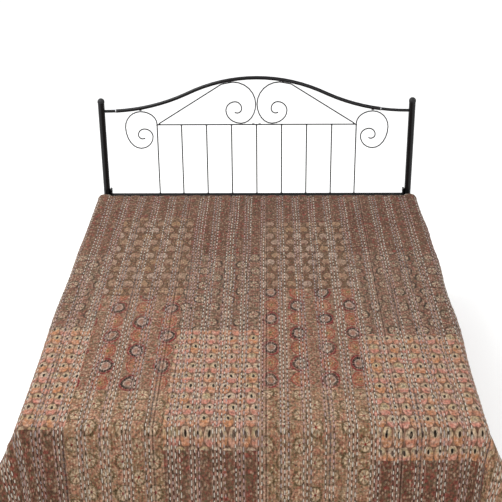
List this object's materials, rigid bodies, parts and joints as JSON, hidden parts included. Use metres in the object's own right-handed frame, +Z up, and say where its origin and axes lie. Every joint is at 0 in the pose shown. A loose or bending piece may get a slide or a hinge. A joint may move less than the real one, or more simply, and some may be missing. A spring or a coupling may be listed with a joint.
{
  "type": "kantha quilt on a double bed with mattress, steel frame and headboard",
  "caption": "Hand-stitched patchwork kantha quilt draped over a mattress on a black steel bed with a scrolled headboard.",
  "frame": {"origin": "on the floor under the middle of the whole thing's box", "axes": "+Z up, +Y to the head of the bed, +X to the right as seen from the foot"},
  "size_m": [1.9374, 2.2953, 1.1431],
  "materials": {
    "quilt_cotton": "matte printed cotton with running stitch",
    "mattress_ticking": "matte woven ticking",
    "black_steel": "satin powder coat",
    "black_plastic": "satin",
    "slat_wood": "bare"
  },
  "bodies": {
    "root": {"bracket_left": "black_steel", "bracket_right": "black_steel", "centre_beam": "black_steel", "centre_leg": "black_steel", "cross_rail": "black_steel", "foot_cap_centre": "black_plastic", "foot_cap_foot_left": "black_plastic", "foot_cap_foot_right": "black_plastic", "foot_cap_head_left": "black_plastic", "foot_cap_head_right": "black_plastic", "foot_leg_left": "black_steel", "foot_leg_right": "black_steel", "foot_rail": "black_steel", "head_rail": "black_steel", "lower_bar": "black_steel", "mattress": "mattress_ticking", "post_cap_left": "black_plastic", "post_cap_right": "black_plastic", "post_left": "black_steel", "post_right": "black_steel", "quilt": "quilt_cotton", "rail_stub_left": "black_steel", "rail_stub_right": "black_steel", "rod_1": "black_steel", "rod_2": "black_steel", "rod_3": "black_steel", "rod_4": "black_steel", "rod_5": "black_steel", "rod_6": "black_steel", "rod_7": "black_steel", "rod_8": "black_steel", "rod_9": "black_steel", "scroll_left": "black_steel", "scroll_right": "black_steel", "side_rail_left": "black_steel", "side_rail_right": "black_steel", "side_scroll_left": "black_steel", "side_scroll_right": "black_steel", "slat_01": "slat_wood", "slat_02": "slat_wood", "slat_03": "slat_wood", "slat_04": "slat_wood", "slat_05": "slat_wood", "slat_06": "slat_wood", "slat_07": "slat_wood", "slat_08": "slat_wood", "slat_09": "slat_wood", "slat_10": "slat_wood", "top_rail": "black_steel"}
  },
  "joints": []
}
